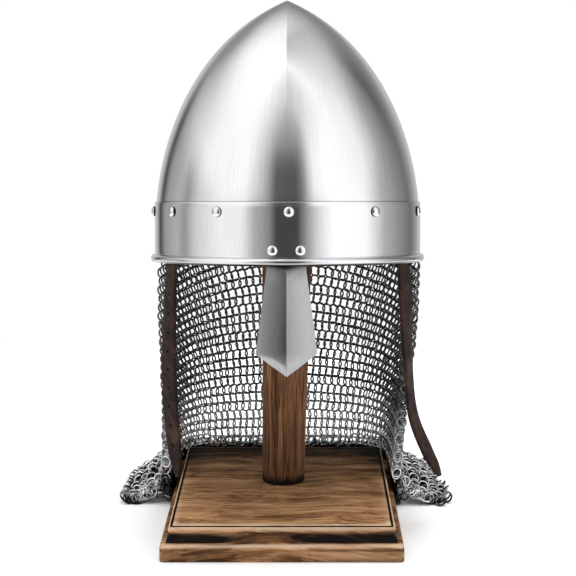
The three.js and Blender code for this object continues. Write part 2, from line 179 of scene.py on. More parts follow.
# stainless steel sheet, raised and polished along the meridians: soft streaks run up the dome
def polishedSteel(name, streaks, tones, roughness):
    material, tree, shader = newMaterial(name)
    place = addNode(tree, "ShaderNodeAttribute", attribute_name="sheet").outputs["Vector"]
    paintedShade = addNode(tree, "ShaderNodeSeparateXYZ", {"Vector": place}).outputs["Z"]
    stretch = addNode(tree, "ShaderNodeMapping", {"Vector": place, "Scale": streaks}).outputs["Vector"]
    fine = addNode(tree, "ShaderNodeTexNoise", {
        "Vector": stretch, "Scale": 1.0, "Detail": 5.0, "Roughness": 0.65}).outputs["Fac"]
    broad = addNode(tree, "ShaderNodeTexNoise", {
        "Vector": place, "Scale": 0.02, "Detail": 2.0}).outputs["Fac"]
    blend = addNode(tree, "ShaderNodeMath", {0: fine, 1: broad}, operation="MULTIPLY").outputs["Value"]
    rough = addNode(tree, "ShaderNodeMapRange", {
        "Value": blend, "From Min": 0.1, "From Max": 0.45,
        "To Min": roughness[0], "To Max": roughness[1]})
    tone = colourRamp(tree, fine, [(0.3, tones[0]), (0.7, tones[1])])
    # painted shade: near black mixed in under the rolled rim, along the band's top seam and round the rivet
    # feet
    darkened = mixColours(tree, paintedShade, tone, srgb("#131313"))
    bump = addNode(tree, "ShaderNodeBump", {"Height": fine, "Strength": 0.03, "Distance": 0.0002})
    tree.links.new(darkened, shader.inputs["Base Color"])
    tree.links.new(rough.outputs["Result"], shader.inputs["Roughness"])
    tree.links.new(bump.outputs["Normal"], shader.inputs["Normal"])
    shader.inputs["Metallic"].default_value = 1
    return material


# plain steel wire, spotted with grey, with painted shade high up and painted light near the floor
def wireSteel(name):
    material, tree, shader = newMaterial(name)
    place = addNode(tree, "ShaderNodeTexCoord").outputs["Object"]
    spots = addNode(tree, "ShaderNodeTexNoise", {
        "Vector": place, "Scale": 220.0, "Detail": 2.0}).outputs["Fac"]
    height = addNode(tree, "ShaderNodeSeparateXYZ", {"Vector": place}).outputs["Z"]
    # painted light: the wire brightens from 85 mm down to 30 mm above the floor
    litNearFloor = addNode(tree, "ShaderNodeMapRange", {"Value": height, "From Min": 0.085, "From Max": 0.03})
    shadedTone = colourRamp(tree, spots, [(0.35, "#3c3d3f"), (0.65, "#6a6b6d")])
    bright = colourRamp(tree, spots, [(0.35, "#b4b5b7"), (0.65, "#e6e7e8")])
    tone = mixColours(tree, litNearFloor.outputs["Result"], shadedTone, bright)
    shade = addNode(tree, "ShaderNodeAttribute", attribute_name="shade").outputs["Fac"]
    tone = mixColours(tree, shade, tone, srgb("#0d0d0e"))  # painted shade where rings lie deep in the mail
    rough = addNode(tree, "ShaderNodeMapRange", {
        "Value": spots, "From Min": 0.3, "From Max": 0.7, "To Min": 0.28, "To Max": 0.14})
    tree.links.new(tone, shader.inputs["Base Color"])
    tree.links.new(rough.outputs["Result"], shader.inputs["Roughness"])
    shader.inputs["Metallic"].default_value = 1
    return material


skullSteel = polishedSteel("polishedStainlessSheet", (0.9, 0.02, 1), ("#d3d4d6", "#dddee0"), (0.09, 0.15))
bandSteel = polishedSteel("polishedStainlessBand", (0.9, 0.05, 1), ("#d3d4d6", "#dddee0"), (0.07, 0.12))
# the nasal's darker tone is painted shade for the dark side of the room it mirrors; its satin finish is the
# higher roughness
nasalSteel = polishedSteel("satinShadedStainlessNasal", (1.2, 0.05, 1), ("#989a9b", "#a2a3a5"), (0.17, 0.22))
ringSteel = wireSteel("plainSteelWire")
print("metals made")


# skull, band and nasal

def setSheet(piece, values):  # place on the sheet in mm for the streaks, and the painted shade in crevices
    layer = piece.data.attributes.new("sheet", "FLOAT_VECTOR", "POINT")
    layer.data.foreach_set("vector", [c for v in values for c in v])


skull = {
    "sides": 192, "outerRows": 64, "innerRows": 20, "beadSteps": 16,
    "ridgeHeight": 0.05, "ridgeAngle": 0.5, "fadeFrom": 85, "fadeTo": 185, "crispAbove": 0.33,
}


def sharpenMiddle(piece, above=0):  # the ridge or crease down the middle stays crisp
    bm = bmesh.new()
    bm.from_mesh(piece.data)
    for edge in bm.edges:
        offMiddle = max(abs(v.co.x - helmet["shift"] * mm) for v in edge.verts)
        if offMiddle < 1e-5 and min(v.co.z for v in edge.verts) > above:
            edge.smooth = False
    bm.to_mesh(piece.data)
    bm.free()


def ovalLoop(halfWidth, offset, z, sides, size):
    fade = smoothstep(z, size["fadeFrom"], size["fadeTo"])
    loop = []
    for i in range(sides):
        angle = i / sides * tau
        near = max(0, 1 - min(angle, tau - angle, abs(angle - math.pi)) / size["ridgeAngle"])
        swell = 1 + size["ridgeHeight"] * fade * near * near
        across = max(0, halfWidth + offset) * swell
        along = max(0, halfWidth * depthRatio + offset) * swell
        loop.append((across * math.sin(angle), -along * math.cos(angle), z))
    return loop


def domeLoops(depth, rows, sides, size):
    loops = []
    for row in range(rows):
        t = row / rows
        x, z = bezier(helmet["domeLine"], t)
        sx, sz = bezierSlope(helmet["domeLine"], t)
        loops.append(ovalLoop(x, -sz * depth, z + sx * depth, sides, size))
    drop = depth / abs(bezierSlope(helmet["domeLine"], 1)[0])
    loops.append(ovalLoop(0, 0, helmet["domeLine"][3][1] - drop, sides, size))
    return loops


def helmetPiece(name, loops, material, closed=False):
    loops = [[helmetToStand(*p) for p in loop] for loop in loops]
    piece = loftMesh(name, loops, material, closed, caps=False)
    t = math.radians(helmet["tiltBack"])
    sheet = []
    for v in piece.data.vertices:
        x, y, z = v.co / mm
        x -= helmet["shift"]
        z -= helmet["rimHeight"]
        y, z = y * math.cos(t) - z * math.sin(t), y * math.sin(t) + z * math.cos(t)
        # painted shade in the seam above the band and under the rolled rim
        onSeam = name == "skullShell" and helmet["bandTop"] - 0.2 < z < helmet["bandTop"] + 0.7
        underRim = smoothstep(-z, 0.7, 1.8)
        paintedShade = max(helmet["seamShade"] if onSeam else 0, underRim)
        sheet.append((math.atan2(x, -y) * helmet["meanRadius"], z, paintedShade))
    setSheet(piece, sheet)
    return piece


def buildSkull(size):
    sides, bead = size["sides"], helmet["beadRadius"]
    centre = bandOutside[0] + helmet["beadReach"] - bead
    start = math.acos((helmet["halfWidth"] - centre) / bead)
    loops = domeLoops(0, size["outerRows"], sides, size)[::-1]
    for i in range(size["beadSteps"] + 1):
        angle = start - i / size["beadSteps"] * start * 2
        offset = centre + bead * math.cos(angle) - helmet["halfWidth"]
        loops.append(ovalLoop(helmet["halfWidth"], offset, bead * math.sin(angle), sides, size))
    loops.append(ovalLoop(helmet["halfWidth"], -helmet["wall"], -1, sides, size))
    loops += domeLoops(helmet["wall"], size["innerRows"], sides, size)
    piece = helmetPiece("skullShell", loops, skullSteel)
    sharpenMiddle(piece, size["crispAbove"])
    return piece


skullShell = buildSkull(skull)

band = {"foot": 3.2, "edge": 0.35, "topEdge": 0.8, "rows": 8}


def buildBand(size):
    inner = helmet["gap"]
    outer = inner + helmet["bandWall"]
    foot, top, rows = size["foot"], helmet["bandTop"], size["rows"]

    def roundedEdge(edge):  # in from the outside and up from the corner
        return [(edge, 0), (edge * 0.3, edge * 0.3), (0, edge)]

    profile = [(inner, foot)] + [(outer - x, foot + z) for x, z in roundedEdge(size["edge"])]
    profile += [(outer, foot + (top - foot) * k / rows) for k in range(1, rows)]
    profile += [(outer - x, top - z) for x, z in roundedEdge(size["topEdge"])[::-1]] + [(inner, top)]
    loops = [ovalLoop(helmet["halfWidth"], o, z, skull["sides"], skull) for o, z in profile]
    return helmetPiece("browBand", loops, bandSteel, closed=True)


browBand = buildBand(band)

nasal = {
    "thickness": 2.2, "columns": 16, "rowHeight": 5, "turn": 0.09, "bevel": 0.35,
    # height, half width and crease at each station, from the tab to the tip
    "stations": [(17, 14.2, 0), (-3.4, 14.2, 0), (-6, 14.5, 1), (-13, 15.4, 3.2), (-66.9, 22.5, 3.6),
                 (-82.9, 0.9, 3.6)],
}


def buildNasal(size):
    innerWidth = helmet["halfWidth"] - helmet["wall"] - helmet["gap"]
    innerDepth = helmet["halfDepth"] - helmet["wall"] - helmet["gap"]
    stations = []
    for first, last in zip(size["stations"], size["stations"][1:]):
        steps = max(1, round(abs(last[0] - first[0]) / size["rowHeight"]))
        stations += [[a + (b - a) * k / steps for a, b in zip(first, last)] for k in range(steps)]
    stations.append(size["stations"][-1])
    loops = []
    for z, halfWidth, crease in stations:
        front = []
        for k in range(size["columns"] + 1):
            share = k / size["columns"] * 2 - 1
            x = share * halfWidth
            y = -innerDepth * math.sqrt(1 - (x / innerWidth) ** 2) - crease * (1 - abs(share))
            y += size["turn"] * x * smoothstep(-z, 2, 14)
            front.append((x, y, z))
        back = [(x, y + size["thickness"], z) for x, y, z in front[::-1]]
        loops.append([helmetToStand(*p) for p in front + back])
    piece = loftMesh("nasalPlate", loops, nasalSteel)
    bevel = piece.modifiers.new("edge", "BEVEL")
    bevel.width = size["bevel"] * mm
    bevel.segments = 2
    bevel.limit_method = "ANGLE"
    bevel.angle_limit = math.radians(50)
    applied(piece)
    sharpenMiddle(piece)
    setSheet(piece, [(v.co.x / mm, v.co.z / mm, 0) for v in piece.data.vertices])
    return piece


nasalPlate = buildNasal(nasal)
print("helmet plates made")


# what repeats: one shape on many points, each facing its own way

def onPoints(name, spots, facings, shapeOf, sizes, material):
    mesh = bpy.data.meshes.new(name)
    mesh.from_pydata([tuple(s) for s in spots], [], [])
    layer = mesh.attributes.new("facing", "FLOAT_VECTOR", "POINT")
    layer.data.foreach_set("vector", [c for f in facings for c in f])
    piece = bpy.data.objects.new(name, mesh)
    bpy.context.collection.objects.link(piece)
    tree = bpy.data.node_groups.new(name, "GeometryNodeTree")
    tree.interface.new_socket("Geometry", in_out="INPUT", socket_type="NodeSocketGeometry")
    tree.interface.new_socket("Geometry", in_out="OUTPUT", socket_type="NodeSocketGeometry")
    for label in sizes:
        tree.interface.new_socket(label, in_out="INPUT", socket_type="NodeSocketFloat")
    entry = addNode(tree, "NodeGroupInput")
    shape = shapeOf(tree, entry)
    facing = addNode(tree, "GeometryNodeInputNamedAttribute", {
        "Name": "facing"}, data_type="FLOAT_VECTOR").outputs["Attribute"]
    turn = addNode(tree, "FunctionNodeAlignRotationToVector", {"Vector": facing}, axis="Z")
    placed = addNode(tree, "GeometryNodeInstanceOnPoints", {
        "Points": entry.outputs["Geometry"], "Instance": shape, "Rotation": turn.outputs["Rotation"]})
    real = addNode(tree, "GeometryNodeRealizeInstances", {"Geometry": placed.outputs["Instances"]})
    painted = addNode(tree, "GeometryNodeSetMaterial", {
        "Geometry": real.outputs["Geometry"], "Material": material})
    leave = addNode(tree, "NodeGroupOutput")
    tree.links.new(painted.outputs["Geometry"], leave.inputs["Geometry"])
    modifier = piece.modifiers.new(name, "NODES")
    modifier.node_group = tree
    for item in tree.interface.items_tree:
        if item.in_out == "INPUT" and item.name in sizes:
            modifier[item.identifier] = float(sizes[item.name])
    applied(piece)
    if "facing" in piece.data.attributes:
        piece.data.attributes.remove(piece.data.attributes["facing"])
    return piece


def ringShape(sides, wireSides):
    def build(tree, entry):
        circle = addNode(tree, "GeometryNodeCurvePrimitiveCircle", {
            "Resolution": sides, "Radius": entry.outputs["Ring radius"]})
        wire = addNode(tree, "GeometryNodeCurvePrimitiveCircle", {
            "Resolution": wireSides, "Radius": entry.outputs["Wire radius"]})
        tube = addNode(tree, "GeometryNodeCurveToMesh", {
            "Curve": circle.outputs["Curve"], "Profile Curve": wire.outputs["Curve"]})
        smooth = addNode(tree, "GeometryNodeSetShadeSmooth", {"Geometry": tube.outputs["Mesh"]})
        return smooth.outputs["Geometry"]
    return build


def domeShape(tree, entry):  # a rivet head: a flattened half ball on its flat foot
    ball = addNode(tree, "GeometryNodeMeshUVSphere", {"Segments": 28, "Rings": 20, "Radius": 1.0})
    size = addNode(tree, "ShaderNodeCombineXYZ", {
        "X": entry.outputs["Head radius"], "Y": entry.outputs["Head radius"],
        "Z": entry.outputs["Head height"]})
    flat = addNode(tree, "GeometryNodeTransform", {
        "Geometry": ball.outputs["Mesh"], "Scale": size.outputs["Vector"]})
    smooth = addNode(tree, "GeometryNodeSetShadeSmooth", {"Geometry": flat.outputs["Geometry"]})
    return smooth.outputs["Geometry"]


# rivets

rivets = {
    "bandAngles": [1, 38.5, 73, 107, 140, 173, 206, 240, 277, 305, 331], "bandHeight": 36.5,
    "bandHead": 4.0, "bandDome": 2.3,
    "nasalSpread": 10.2, "nasalHeight": 8.5, "nasalHead": 4.0, "nasalDome": 2.1,
}


def bandNormal(angle):  # straight out of the band
    halfWidth, halfDepth = bandOutside
    return Vector((math.sin(angle) / halfWidth, -math.cos(angle) / halfDepth, 0)).normalized()


def rivetSpot(angle, z, out):
    halfWidth, halfDepth = bandOutside
    normal = bandNormal(angle)
    spot = Vector((halfWidth * math.sin(angle), -halfDepth * math.cos(angle), z)) + normal * out
    tip = helmetToStand(*(spot + normal))
    place = helmetToStand(*spot)
    return place, (tip - place).normalized()


def buildRivets(name, places, head, dome):
    spots, facings = zip(*[rivetSpot(angle, z, helmet["gap"]) for angle, z in places])
    sizes = {"Head radius": head * mm, "Head height": dome * mm}
    piece = onPoints(name, spots, facings, domeShape, sizes, bandSteel)
    sheet = []
    for v in piece.data.vertices:
        reach = min((v.co - spot).length for spot in spots) / (head * mm)
        sheet.append((v.co.x / mm, v.co.z / mm, smoothstep(reach, 0.93, 1.0)))  # painted contact shadow round the foot
    setSheet(piece, sheet)
    return piece


bandRivets = buildRivets(
    "bandRivets", [(math.radians(a), rivets["bandHeight"]) for a in rivets["bandAngles"]],
    rivets["bandHead"], rivets["bandDome"])
nasalAngle = math.asin(rivets["nasalSpread"] / bandOutside[0])
nasalRivets = buildRivets(
    "nasalRivets", [(side * nasalAngle, rivets["nasalHeight"]) for side in (-1, 1)],
    rivets["nasalHead"], rivets["nasalDome"])
print("rivets made")


# mail

mail = {
    "start": 94, "end": 262, "foot": 28.5, "footShift": -2.5, "footHalfWidth": 97.5, "footHalfDepth": 112,
    "squareness": 5, "spread": 1.6, "inset": 4.7, "top": 3.1, "drop": 178, "rows": 26,
    "ring": 4.4, "wire": 0.78, "columnTop": 6.45, "columnFoot": 5.4, "row": 8.05, "sideRow": 7.15,
    "turn": 31, "loose": 4, "jitter": 0.2, "seed": 7,
    "sideShade": 0.4, "sideFrom": (0.6, 0.9), "brightColumns": 3,
    # how far the sides hang out from the straight line, at each share of the drop
    "bulge": [(0, -2.4), (0.04, -2.4), (0.055, 3.6), (0.29, 3.6), (0.43, 2.2), (0.57, 0.6),
              (0.72, -1.2), (0.86, -2.1), (1, -2.4)],
}


def curtainTop(angle):
    across = helmet["halfWidth"] - mail["inset"]
    along = helmet["halfDepth"] - mail["inset"]
    return helmetToStand(across * math.sin(angle), -along * math.cos(angle), mail["top"]) / mm


def curtainBottom(angle):
    n = mail["squareness"]
    swell = (abs(math.sin(angle)) ** n + abs(math.cos(angle)) ** n) ** (-1 / n)
    x = mail["footShift"] + mail["footHalfWidth"] * swell * math.sin(angle)
    return Vector((x, -mail["footHalfDepth"] * swell * math.cos(angle), mail["foot"]))


def curtainPoint(angle, share):
    top, bottom = curtainTop(angle), curtainBottom(angle)
    spread = max(0, share) ** mail["spread"]
    bulge = float(np.interp(share, *zip(*mail["bulge"]))) * math.sin(angle)
    return Vector((top.x + (bottom.x - top.x) * spread + bulge, top.y + (bottom.y - top.y) * spread,
                   top.z + (bottom.z - top.z) * share))


def outwardAt(angle, share):
    along = curtainPoint(angle + 0.02, share) - curtainPoint(angle - 0.02, share)
    return Vector((along.y, -along.x, 0)).normalized()


def evenAngles(share, spacing, start=0):  # steps of equal length along the curtain
    first, last = math.radians(mail["start"]), math.radians(mail["end"])
    steps = 600
    fine = [first + (last - first) * i / steps for i in range(steps + 1)]
    lengths = [0]
    for a, b in zip(fine, fine[1:]):
        lengths.append(lengths[-1] + (curtainPoint(b, share) - curtainPoint(a, share)).length)
    count = int(lengths[-1] / spacing)
    return list(np.interp([(k + start) / count * lengths[-1] for k in range(count)], lengths, fine))


def boardOverlap(spot):  # how far inside the board's outline a point lies
    return min(boardSize["halfWidth"] - abs(spot.x), boardSize["back"] - spot.y)


def onFloor(spot, facing, wire):  # a ring may rest on the floor, not sink into it
    return max(spot.z, mail["ring"] * math.sqrt(1 - facing.z ** 2) + wire)


def ringFacing(outward, down, turn, rng, loose):  # each row turns the other way, as linked rings do
    along = outward.cross(down).normalized()
    facing = Matrix.Rotation(math.radians(rng.gauss(0, loose)), 3, along) @ outward
    return (Matrix.Rotation(math.radians(turn + rng.gauss(0, loose)), 3, down) @ facing).normalized()


def buildCurtain():  # rows are counted up from the foot, and lie closer at the sides than at the back
    rng = random.Random(mail["seed"])
    spots, facings, shades = [], [], []
    down = Vector((0, 0, -1))
    for row in range(mail["rows"]):
        middle = 1 - row * mail["row"] / mail["drop"]
        spacing = mail["columnTop"] + (mail["columnFoot"] - mail["columnTop"]) * max(0, middle)
        angles = evenAngles(max(0, middle), spacing, 0.5 * (row % 2))
        for column, angle in enumerate(angles):
            height = mail["row"] + (mail["sideRow"] - mail["row"]) * math.sin(angle) ** 2
            top = curtainTop(angle).z
            share = (top - mail["foot"] - height * row) / (top - mail["foot"])
            if share < -0.01:  # above the rim's wire
                continue
            spot = curtainPoint(angle, share) + Vector([rng.gauss(0, mail["jitter"]) for _ in range(3)])
            if boardOverlap(spot) > 0:
                spot.z = max(spot.z, boardSize["top"] + mail["ring"] + mail["wire"])
            side = 1 if row % 2 else -1
            facings.append(ringFacing(Vector((0, 1, 0)), down, side * mail["turn"], rng, mail["loose"]))
            spots.append(spot * mm)
            fromFront = min(column, len(angles) - 1 - column)  # painted shade on the side columns behind the bright front edge
            atSide = smoothstep(abs(math.sin(angle)), *mail["sideFrom"])
            shades.append(mail["sideShade"] * atSide * smoothstep(fromFront, 0, mail["brightColumns"]))
    print("curtain rings", len(spots))
    return spots, facings, shades


def setShade(piece, shades):  # one row of values for each ring, over all its points
    layer = piece.data.attributes.new("shade", "FLOAT", "POINT")
    rows = np.broadcast_to(shades, (len(shades), len(piece.data.vertices) // len(shades)))
    layer.data.foreach_set("value", np.clip(rows, 0, 1).ravel())


spots, facings, shades = buildCurtain()
half = len(spots) // 2
ringSizes = {"Ring radius": mail["ring"] * mm, "Wire radius": mail["wire"] * mm}
curtainShape = ringShape(16, 6)
curtainLower = onPoints("mailCurtainLower", spots[:half], facings[:half], curtainShape, ringSizes, ringSteel)
curtainUpper = onPoints("mailCurtainUpper", spots[half:], facings[half:], curtainShape, ringSizes, ringSteel)
setShade(curtainLower, np.array(shades[:half])[:, None])
setShade(curtainUpper, np.array(shades[half:])[:, None])

heap = {
    "right": 44, "left": 40, "crest": 28.2, "start": 96.5, "end": 260.5, "core": (0.35, 0.36),
    "layers": 3, "endLayers": 5, "depth": 0.17, "rows": 12, "column": 7.0,
    "turn": 14, "loose": 8, "jitter": 0.5, "wire": 0.82, "sink": 3,
    "faceTo": (0, -0.8, 0.1), "faceFade": (0.2, 0.35),  # near its front ends the rings lean forward
    "boardRoom": 4.8, "overBoard": 29,
    "shade": 1.0, "shadeGrowth": 0.35, "dipShade": ((-0.6, 1.3), (0, 0.97)),
    "waist": 0.23, "waistStart": (0.55, 0.65), "waistEnd": (0.95, 0.83),  # narrower behind the left end
    "endReach": 0.62, "endHeight": 0.35, "innerEndHeight": 0.6,
    "ripples": [(0.07, 41, -1), (0.04, 23, 1)],  # height, turns along the heap, and start
    # out from the curtain's foot and up from the floor, as shares of the reach and the crest
    "section": [(-0.18, 0.1), (-0.18, 0.45), (-0.13, 0.8), (-0.06, 1.0), (0.1, 1.0), (0.35, 0.86),
                (0.58, 0.64), (0.82, 0.42), (0.97, 0.22), (0.9, 0.08)],
}


def heapPoint(angle, share, along):
    middle = curtainBottom(angle)
    outward = outwardAt(angle, 1)
    reach = heap["right"] + (heap["left"] - heap["right"]) * share
    reach *= 1 - heap["waist"] * smoothstep(share, *heap["waistStart"]) * smoothstep(share, *heap["waistEnd"])
    fromEnd = min(share, 1 - share)
    taper = heap["endReach"] + (1 - heap["endReach"]) * min(1, fromEnd * 10) ** 0.6
    rise = heap["endHeight"] + (1 - heap["endHeight"]) * min(1, fromEnd * 11)  # down to the floor in front
    innerRise = heap["innerEndHeight"] + (1 - heap["innerEndHeight"]) * min(1, fromEnd * 20)
    ripple = 1 + sum(size * math.sin(share * turns + start) for size, turns, start in heap["ripples"])
    place = along * (len(heap["section"]) - 1)
    k = min(len(heap["section"]) - 2, int(place))
    (o0, u0), (o1, u1) = heap["section"][k:k + 2]
    out = (o0 + (o1 - o0) * (place - k)) * reach
    up = (u0 + (u1 - u0) * (place - k)) * heap["crest"]
    if out > 0.1 * reach:
        out *= taper * ripple
        up *= rise * (0.9 + 0.1 * ripple)
    else:
        up *= innerRise
    return middle + outward * out + Vector((0, 0, up - mail["foot"])), outward


def heapCore(angle, share):
    reach = heap["right"] + (heap["left"] - heap["right"]) * share
    out, up = heap["core"]
    rise = Vector((0, 0, up * heap["crest"] - mail["foot"]))
    return curtainBottom(angle) + outwardAt(angle, 1) * (out * reach) + rise


def buildHeap():  # rings on the heap's skin, then smaller skins inside it, so that none lies on air
    rng = random.Random(mail["seed"] + 1)
    first, last = math.radians(heap["start"]), math.radians(heap["end"])

    def shareOf(angle):  # from nought at the right end to one at the left
        return min(1, max(0, (math.degrees(angle) - mail["start"]) / (mail["end"] - mail["start"])))

    steps = [[a for a in evenAngles(1, heap["column"], start) if first <= a <= last] for start in (0, 0.5)]
    columns = min(len(angles) for angles in steps)
    spots, facings, normals, shades = [], [], [], []
    for column in range(columns):
        fromEnd = min(column, columns - 1 - column)
        for layer in range(heap["layers"] if fromEnd else heap["endLayers"]):
            size = 1 - heap["depth"] * layer
            rows = max(4, round(heap["rows"] * size))
            for row in range(rows):
                angle = steps[row % 2][column]
                along = row / (rows - 1)
                spot, outward = heapPoint(angle, shareOf(angle), along)
                below, _ = heapPoint(angle, shareOf(angle), min(1, along + 0.02))
                above, _ = heapPoint(angle, shareOf(angle), max(0, along - 0.02))
                ahead, _ = heapPoint(angle + 0.05, shareOf(angle + 0.05), along)
                behind, _ = heapPoint(angle - 0.05, shareOf(angle - 0.05), along)
                down = (below - above).normalized()
                normal = down.cross(ahead - behind).normalized()
                if normal.dot(outward + Vector((0, 0, 1))) < 0:
                    normal = -normal
                core = heapCore(angle, shareOf(angle))
                spot = core + (spot - core) * size - normal * heap["sink"]
                spot += Vector([rng.gauss(0, heap["jitter"]) for _ in range(3)])
                overlap = boardOverlap(spot) + heap["boardRoom"]
                if overlap > 0 and spot.z < heap["overBoard"]:
                    spot += outward * overlap
                side = 1 if row % 2 else -1
                inFront = 1 - smoothstep(min(shareOf(angle), 1 - shareOf(angle)), *heap["faceFade"])
                facing = (normal + Vector(heap["faceTo"]) * inFront).normalized()
                facing = ringFacing(facing, down, side * heap["turn"], rng, heap["loose"])
                spot.z = onFloor(spot, facing, heap["wire"])
                facings.append(facing)
                spots.append(spot * mm)
                normals.append(normal)
                # painted shade on the inner layers, coming in away from the ends
                shades.append(min(1, layer * heap["shade"] * min(1, fromEnd * heap["shadeGrowth"])))
    print("heap rings", len(spots), "columns", columns)
    return spots, facings, normals, shades


def shadeByDepth(piece, spots, normals, shades):  # painted shade: each ring darkens where it dips into the heap
    coords = np.empty(len(piece.data.vertices) * 3)
    piece.data.vertices.foreach_get("co", coords)
    rings = coords.reshape(len(spots), -1, 3)
    depth = np.einsum("rvk,rk->rv", np.array(spots)[:, None, :] - rings, np.array(normals)) / mm
    setShade(piece, np.array(shades)[:, None] + np.interp(depth, *heap["dipShade"]))


spots, facings, normals, shades = buildHeap()
half = len(spots) // 2
ringSizes = {"Ring radius": mail["ring"] * mm, "Wire radius": heap["wire"] * mm}
heapShape = ringShape(12, 5)
heapFirst = onPoints("mailHeapFirst", spots[:half], facings[:half], heapShape, ringSizes, ringSteel)
heapSecond = onPoints("mailHeapSecond", spots[half:], facings[half:], heapShape, ringSizes, ringSteel)
shadeByDepth(heapFirst, spots[:half], normals[:half], shades[:half])
shadeByDepth(heapSecond, spots[half:], normals[half:], shades[half:])
print("mail made")


# straps

# vegetable-tanned leather, dyed dark brown: dull and faintly mottled, with a fine pebbled grain
def dyedLeather(name):
    material, tree, shader = newMaterial(name)
    place = addNode(tree, "ShaderNodeTexCoord").outputs["Object"]
    grain = addNode(tree, "ShaderNodeTexVoronoi", {"Vector": place, "Scale": 900.0})  # about 1 mm pebbles
    mottle = addNode(tree, "ShaderNodeTexNoise", {
        "Vector": place, "Scale": 60.0, "Detail": 5.0, "Roughness": 0.7})
    tone = colourRamp(tree, mottle.outputs["Fac"], [(0.3, "#120b09"), (0.55, "#2c1d18"), (0.75, "#4a352c")])
    rough = addNode(tree, "ShaderNodeMapRange", {
        "Value": mottle.outputs["Fac"], "From Min": 0.3, "From Max": 0.7, "To Min": 0.8, "To Max": 0.6})
    shader.inputs["Specular IOR Level"].default_value = 0.15
    bump = addNode(tree, "ShaderNodeBump", {
        "Height": grain.outputs["Distance"], "Strength": 0.25, "Distance": 0.0003})
    tree.links.new(tone, shader.inputs["Base Color"])
    tree.links.new(rough.outputs["Result"], shader.inputs["Roughness"])
    tree.links.new(bump.outputs["Normal"], shader.inputs["Normal"])
    return material


strapLeather = dyedLeather("dyedLeather")

straps = {
    "thickness": 2.4, "halfWidth": 8.5, "angle": 62, "wallRows": [32, 14, -3], "stepsPerRow": 10,
    "holeRadius": 1.3, "bevel": 0.5,
    # x, y, z, turn of the face about the upright, and half width
    "left": [(-88.0, -45, 141, -52, 8.3), (-87.2, -41, 90, -46, 7.8), (-84.8, -40, 60, -42, 6.6),
             (-83.6, -40, 49, -42, 4.4), (-82.8, -40, 40, -42, 1.6)],
    "right": [(94.6, -48, 187, 56, 8.5), (97.4, -45, 133, 68, 8.5), (101.8, -42, 92, 67, 8.5),
              (113.2, -41, 62, 63, 8.4), (119.4, -41, 50, 60, 5.8), (123.6, -41, 41, 58, 1.6)],
    "leftHoles": [188, 173, 158, 143, 128, 113, 98, 83, 66], "rightHoles": [80, 66],
}


def strapRows(side):
    angle = math.radians(straps["angle"]) * (-1 if side == "left" else 1)
    curveRoom = straps["halfWidth"] ** 2 / (2 * helmet["halfWidth"])  # a flat strap on a curved wall
    inset = helmet["wall"] + 2 * helmet["gap"] + curveRoom + straps["thickness"] / 2
    across, along = helmet["halfWidth"] - inset, helmet["halfDepth"] - inset
    rows = []
    for height in straps["wallRows"]:
        spot = (across * math.sin(angle), -along * math.cos(angle), height)
        place = helmetToStand(*spot)
        out = helmetToStand(*(Vector(spot) + bandNormal(angle))) - place
        face = Vector((0, 0, 1)).cross(out)
        rows.append((*(place / mm), math.degrees(math.atan2(face.y, face.x)), straps["halfWidth"]))
    return rows + straps[side]


def curveThrough(rows, share):  # a smooth path through the rows
    last = len(rows) - 1
    place = share * last
    k = min(last - 1, int(place))
    t = place - k
    p0, p1, p2, p3 = (np.array(rows[min(last, max(0, k + d))], float) for d in (-1, 0, 1, 2))
    square, cube = 2 * p0 - 5 * p1 + 4 * p2 - p3, 3 * p1 - p0 - 3 * p2 + p3
    return 0.5 * (2 * p1 + (p2 - p0) * t + square * t * t + cube * t**3)


def strapFrame(rows, share):
    spot = curveThrough(rows, share)
    ahead = curveThrough(rows, min(1, share + 0.004))
    behind = curveThrough(rows, max(0, share - 0.004))
    along = Vector(ahead[:3] - behind[:3]).normalized()
    across = Vector((math.cos(math.radians(spot[3])), math.sin(math.radians(spot[3])), 0))
    out = across.cross(along).normalized()
    return Vector(spot[:3]), across, out, spot[4]


def buildStrap(side):
    rows = strapRows(side)
    steps = (len(rows) - 1) * straps["stepsPerRow"]
    half = straps["thickness"] / 2
    loops = []
    for i in range(steps + 1):
        middle, across, out, width = strapFrame(rows, i / steps)
        corners = [(-1, -half), (-0.5, -half), (0, -half), (0.5, -half), (1, -half),
                   (1, half), (0.5, half), (0, half), (-0.5, half), (-1, half)]
        loops.append([(middle + across * (u * width) + out * v) * mm for u, v in corners])
    piece = loftMesh("strap" + side.title(), loops, strapLeather)
    bm = bmesh.new()
    for height in straps[side + "Holes"]:
        share = min((k / 400 for k in range(401)), key=lambda s: abs(curveThrough(rows, s)[2] - height))
        middle, across, out, _ = strapFrame(rows, share)
        turn = out.to_track_quat("Z", "Y").to_matrix().to_4x4()
        turn.translation = middle * mm
        bmesh.ops.create_cone(bm, cap_ends=True, segments=14, radius1=straps["holeRadius"] * mm,
                              radius2=straps["holeRadius"] * mm, depth=9 * mm, matrix=turn)
    punch = bpy.data.meshes.new("punch")
    bm.to_mesh(punch)
    bm.free()
    tool = bpy.data.objects.new("punch", punch)
    bpy.context.collection.objects.link(tool)
    cut = piece.modifiers.new("holes", "BOOLEAN")
    cut.object = tool
    cut.solver = "EXACT"
    edge = piece.modifiers.new("edge", "BEVEL")
    edge.width = straps["bevel"] * mm
    edge.segments = 2
    edge.limit_method = "ANGLE"
    edge.angle_limit = math.radians(50)
    applied(piece)
    bpy.data.objects.remove(tool)
    return tidyMesh(piece)


strapPieces = {side: buildStrap(side) for side in ("left", "right")}
print("straps made")
